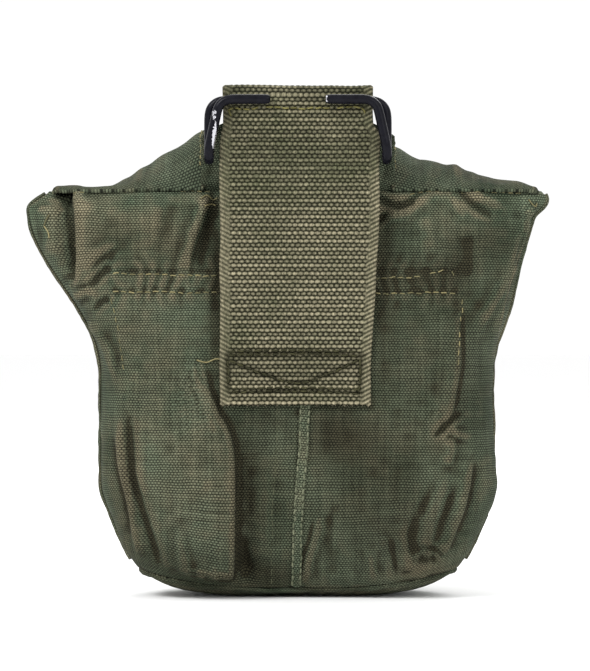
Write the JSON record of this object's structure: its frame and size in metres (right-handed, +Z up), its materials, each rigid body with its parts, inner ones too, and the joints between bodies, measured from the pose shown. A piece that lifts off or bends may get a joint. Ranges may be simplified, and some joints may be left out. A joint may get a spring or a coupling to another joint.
{
  "type": "belt canteen with canvas cover",
  "caption": "Kidney-shaped metal bottle with a screw cap on a chain, in a felt-lined canvas cover with snap flaps, a webbing hanger strap and a wire belt hook.",
  "frame": {"origin": "middle of the flat bottom, on the surface it stands on", "axes": "+Z up; -Y towards the wearer, the side with the strap and the hook; +Y outwards, the side with the snaps; +X to the right seen from -Y"},
  "size_m": [0.1924, 0.0926, 0.1927],
  "materials": {
    "canvas": "plain-woven cotton duck, olive green, faded and soiled",
    "webbing": "coarse cotton webbing, faded olive to tan",
    "felt": "wool felt, drab",
    "black_wire": "black enamel, worn to steel on its edges",
    "black_brass": "blackened brass, rubbed on the high spots",
    "bottle_metal": "satin",
    "cap_plastic": "moulded black phenolic",
    "gasket": "cork-faced rubber",
    "chain_metal": "dull plated"
  },
  "bodies": {
    "cover": {"back_panel_left": "canvas", "back_panel_right": "canvas", "back_patch": "canvas", "front_panel": "canvas", "bottom_panel": "canvas", "lining_wall": "felt", "lining_bottom": "felt", "neck_tab": "canvas", "hanger_strap": "webbing", "snap_stud_left": "black_brass", "snap_stud_right": "black_brass", "stud_washer_left": "black_brass", "stud_washer_right": "black_brass", "bottle_body": "bottle_metal", "threaded_neck": "bottle_metal", "chain_collar": "chain_metal", "cap_chain": "chain_metal"},
    "hook": {"belt_hook": "black_wire"},
    "left_flap": {"flap_left": "canvas"},
    "left_tongue": {"tongue_left": "canvas", "snap_socket_left": "black_brass", "clinch_ring_left": "black_brass"},
    "right_flap": {"flap_right": "canvas"},
    "right_tongue": {"tongue_right": "canvas", "snap_socket_right": "black_brass", "clinch_ring_right": "black_brass"},
    "swivel": {"chain_swivel": "chain_metal"},
    "cap": {"cap_shell": "cap_plastic", "cap_gasket": "gasket"}
  },
  "joints": [
    {"name": "hook_swing", "type": "hinge", "parent": "cover", "child": "hook", "pos_m": [0, -0.04241, 0.1882], "axis": [-1, 0, 0], "range_deg": [0, 140]},
    {"name": "left_flap_fold", "type": "hinge", "parent": "cover", "child": "left_flap", "pos_m": [0, -0.0371, 0.155], "axis": [1, 0, 0], "range_deg": [0, 105]},
    {"name": "left_tongue_fold", "type": "hinge", "parent": "left_flap", "child": "left_tongue", "pos_m": [-0.0531, 0.0089, 0.155], "axis": [0.8735, 0.4869, 0], "range_deg": [0, 115]},
    {"name": "right_flap_fold", "type": "hinge", "parent": "cover", "child": "right_flap", "pos_m": [0, -0.0371, 0.155], "axis": [1, 0, 0], "range_deg": [0, 105]},
    {"name": "right_tongue_fold", "type": "hinge", "parent": "right_flap", "child": "right_tongue", "pos_m": [0.0531, 0.0089, 0.155], "axis": [0.8735, -0.4869, 0], "range_deg": [0, 115]},
    {"name": "cap_lift", "type": "slide", "parent": "cover", "child": "swivel", "axis": [0, 0, 1], "range_m": [0, 0.00735], "deforming": ["cap_chain"]},
    {"name": "cap_turn", "type": "hinge", "parent": "swivel", "child": "cap", "pos_m": [0, 0, 0.172], "axis": [0, 0, 1], "range_deg": [0, 630]}
  ],
  "couplings": [
    {"joint": "cap_turn", "follows": "cap_lift", "rad_per_m": 1496}
  ]
}
